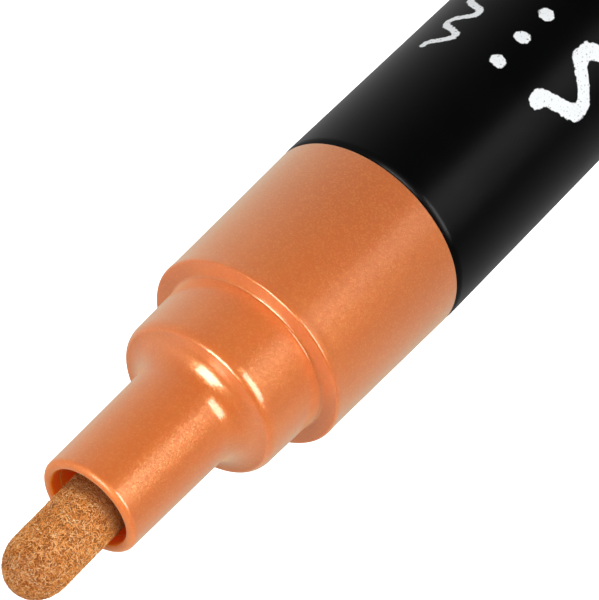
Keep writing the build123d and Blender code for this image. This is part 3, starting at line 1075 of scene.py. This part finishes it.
def makeValveCoil():
    coil = bmesh.new()
    coil.from_mesh(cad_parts["valve_spring"].data)
    bmesh.ops.remove_doubles(coil, verts=coil.verts, dist=valveCoil["weld"] * mm)
    piece = pieceFrom("valveCoil", coil)
    dress(piece, "spring_steel")
    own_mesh(piece)
    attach(piece, "barrel")
    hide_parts("valve_spring")


makeBarrelTube()
makeFrontMoulding()
makeTailMoulding()
makeCapMoulding()
makeLinerCup()
makeValveCoil()
nibCore = makeNibBullet()
nibCoat = makeNibFibres(nibCore)
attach(nibCore, "nib")
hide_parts("nib")
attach(nibCoat, "nib")
print("turned pieces, spring and nib made")

# Pieces inside the marker keep their CAD shape and get their finish
insideSlots = {
    "valve_body": "white_plastic", "valve_stem": "white_plastic", "spring_retainer": "white_plastic",
    "stem_seal": "seal_rubber", "valve_gasket": "seal_rubber", "section_o_ring": "seal_rubber",
    "mixing_ball_a": "ball_steel", "mixing_ball_b": "ball_steel",
}
for node, slot in insideSlots.items():
    dress(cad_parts[node], slot)
print("inside pieces dressed:", len(insideSlots))

# Studio: white sheet and surround, dark towards the camera, with four soft boxes, in metres
# Directions are degrees round the marker from the camera side, and above the level of its collar
studio = {
    "middle": Vector((0, 0, 0.135)),
    "floorSize": 4.0,
    "floorDrop": 0.05 * mm,
    "floorColour": grey(0.82),
    "fillLevel": 0.69,
    "shadowReach": (0.05, 0.16),
    "shadowKept": 0.62,
    "surround": [
        (-180, 0.25), (-150, 0.5), (-110, 0.52), (-75, 0.3), (-45, 0.09), (-20, 0.01),
        (62, 0.01), (76, 0.1), (110, 0.3), (150, 0.45), (180, 0.25)],
    "sheet": [
        (-180, 0.25), (-150, 0.5), (-110, 0.5), (-75, 0.28), (-45, 0.08), (-20, 0.01),
        (9, 0.02), (19, 0.42), (30, 0.42), (44, 0.03),
        (62, 0.01), (76, 0.1), (110, 0.28), (150, 0.4), (180, 0.25)],
    "darkTop": (50, 70, 0.1),  # from this rise to that one the surround fades to this share
}
softBoxes = {
    "keyBox": {
        "turn": 34, "rise": -5, "away": 0.30, "wide": 0.20, "high": 0.15, "level": 6.1, "for": "glints"},
    "topBox": {
        "turn": -22, "rise": 59, "away": 0.32, "wide": 0.17, "high": 0.20, "level": 9.5, "for": "glints"},
    "frontBox": {
        "turn": 42, "rise": 5, "away": 0.40, "wide": 0.30, "high": 0.30, "level": 2.9, "for": "shape"},
    "crownBox": {
        "turn": -45, "rise": 55, "away": 0.24, "wide": 0.17, "high": 0.17, "level": 2.6, "for": "shape"},
}


# How bright the surround or the sheet looks in a reflection, by its direction round the marker
def makeSurroundGroup(name):
    tree, given, out = newGroup(name, {"Direction": "Vector"}, {"Level": "Float"})
    axes = partsOf(tree, given["Direction"])
    across = times(tree, axes[0], -1.0)
    turn = maths(tree, "ARCTAN2", across, times(tree, axes[1], -1.0))
    share = times(tree, turn, 0.5 / math.pi, 0.5)
    stops = [((degrees + 180) / 360, grey(level)) for degrees, level in studio[name]]
    tree.links.new(ramp(tree, share, stops), out["Level"])
    return tree


def seenRays(tree):
    path = put(tree, "ShaderNodeLightPath").outputs
    mirrored = maths(tree, "MAXIMUM", path["Is Glossy Ray"], path["Is Transmission Ray"])
    return path["Is Camera Ray"], mirrored


def makeWorld(surround):
    world = bpy.data.worlds.new("studioWorld")
    scene.world = world
    world.use_nodes = True
    tree = world.node_tree
    tree.nodes.clear()
    camera, mirrored = seenRays(tree)
    direction = put(tree, "ShaderNodeTexCoord").outputs["Generated"]
    around = useGroup(tree, surround, {"Direction": direction})["Level"]
    start, end, least = studio["darkTop"]
    rise = partsOf(tree, direction)[2]
    top = ease(tree, rise, math.sin(math.radians(start)), math.sin(math.radians(end)), 1.0, least)
    level = times(tree, around, top)
    reflected = tint(tree, mirrored, grey(studio["fillLevel"]), level)
    seen = tint(tree, camera, reflected, grey(1.0))
    light = put(tree, "ShaderNodeBackground", {"Color": seen, "Strength": 1.0})
    tree.links.new(light.outputs[0], put(tree, "ShaderNodeOutputWorld").inputs[0])


def makeFloor(sheet):
    half, drop = studio["floorSize"] / 2, -studio["floorDrop"]
    corners = [(-half, -half, drop), (half, -half, drop), (half, half, drop), (-half, half, drop)]
    mesh = bpy.data.meshes.new("floor")
    mesh.from_pydata(corners, [], [(0, 1, 2, 3)])
    floor = inScene("floor", mesh)
    material = bpy.data.materials.new("paperSheet")
    material.use_nodes = True
    tree = material.node_tree
    tree.nodes.clear()
    camera, mirrored = seenRays(tree)
    place = put(tree, "ShaderNodeTexCoord").outputs["Object"]
    near, far = studio["shadowReach"]
    white = ease(tree, vectorMaths(tree, "LENGTH", place), near, far, studio["shadowKept"], 1.0)
    glow = put(tree, "ShaderNodeEmission", {"Strength": times(tree, white, camera)})
    paper = put(tree, "ShaderNodeBsdfDiffuse", {"Color": studio["floorColour"]})
    shown = put(tree, "ShaderNodeAddShader", {0: paper.outputs[0], 1: glow.outputs[0]})
    level = useGroup(tree, sheet, {"Direction": place})["Level"]
    mirror = put(tree, "ShaderNodeEmission", {"Color": level})
    both = put(tree, "ShaderNodeMixShader", {0: mirrored, 1: shown.outputs[0], 2: mirror.outputs[0]})
    tree.links.new(both.outputs[0], put(tree, "ShaderNodeOutputMaterial").inputs[0])
    material.cycles.emission_sampling = "NONE"  # the sheet is no lamp, so no light samples go to it
    floor.data.materials.append(material)


def makeSoftBox(name, box):
    turn, rise = math.radians(box["turn"]), math.radians(box["rise"])
    way = Vector((-math.sin(turn) * math.cos(rise), -math.cos(turn) * math.cos(rise), math.sin(rise)))
    lamp = bpy.data.lights.new(name, "AREA")
    lamp.shape = "RECTANGLE"
    lamp.size, lamp.size_y = box["wide"], box["high"]
    lamp.energy = box["level"] * math.pi * box["wide"] * box["high"]
    holder = inScene(name, lamp)
    holder.location = studio["middle"] + way * box["away"]
    holder.rotation_mode = "QUATERNION"
    holder.rotation_quaternion = (-way).to_track_quat("-Z", "Y")
    holder.visible_camera = False
    # a box for glints shows in reflections alone, and one for shape lights without a reflection
    holder.visible_diffuse = box["for"] == "shape"
    holder.visible_glossy = box["for"] == "glints"


makeWorld(makeSurroundGroup("surround"))
makeFloor(makeSurroundGroup("sheet"))
for boxName, softBox in softBoxes.items():
    makeSoftBox(boxName, softBox)
print("studio:", len(softBoxes), "soft boxes")

# Camera: set by where the barrel's front centre sits in the picture and how the marker's axis lies
cameraView = {
    "imageSize": (599, 600), "focalPixels": 2986.9, "barrelFrontPixel": (362.84, 238.35),
    "barrelFrontDepth": 0.21998, "axisTilt": 0.99788, "axisTurn": -0.77521, "sensor": 36.0,
    "clip": (0.005, 20),
}


def makeCamera():
    look = cameraView
    width, height = look["imageSize"]
    focal, depth = look["focalPixels"], look["barrelFrontDepth"]
    tilt, turn = look["axisTilt"], look["axisTurn"]
    # the marker's axes seen from the camera: x right, y down, z ahead
    tailwards = Vector((math.sin(tilt) * math.cos(turn), math.sin(tilt) * math.sin(turn), math.cos(tilt)))
    worldZ = -tailwards
    worldY = (Vector((0, 0, 1)) + worldZ * math.cos(tilt)).normalized()
    worldX = worldY.cross(worldZ)
    right, down, ahead = (Vector((worldX[i], worldY[i], worldZ[i])) for i in range(3))
    fromLeft, fromTop = look["barrelFrontPixel"]
    eye = Vector((0, 0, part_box("barrel")[1].z)) - ahead * depth
    eye -= right * ((fromLeft - width / 2) / focal * depth)
    eye -= down * ((fromTop - height / 2) / focal * depth)
    lens = bpy.data.cameras.new("camera")
    lens.sensor_fit = "HORIZONTAL"
    lens.sensor_width = look["sensor"]
    lens.lens = focal * look["sensor"] / width
    lens.clip_start, lens.clip_end = look["clip"]
    camera = inScene("camera", lens)
    camera.matrix_world = Matrix((
        (right.x, -down.x, -ahead.x, eye.x),
        (right.y, -down.y, -ahead.y, eye.y),
        (right.z, -down.z, -ahead.z, eye.z),
        (0, 0, 0, 1)))
    scene.camera = camera
    print("camera at", [round(value, 4) for value in eye])


makeCamera()
scene.view_settings.view_transform = "Standard"
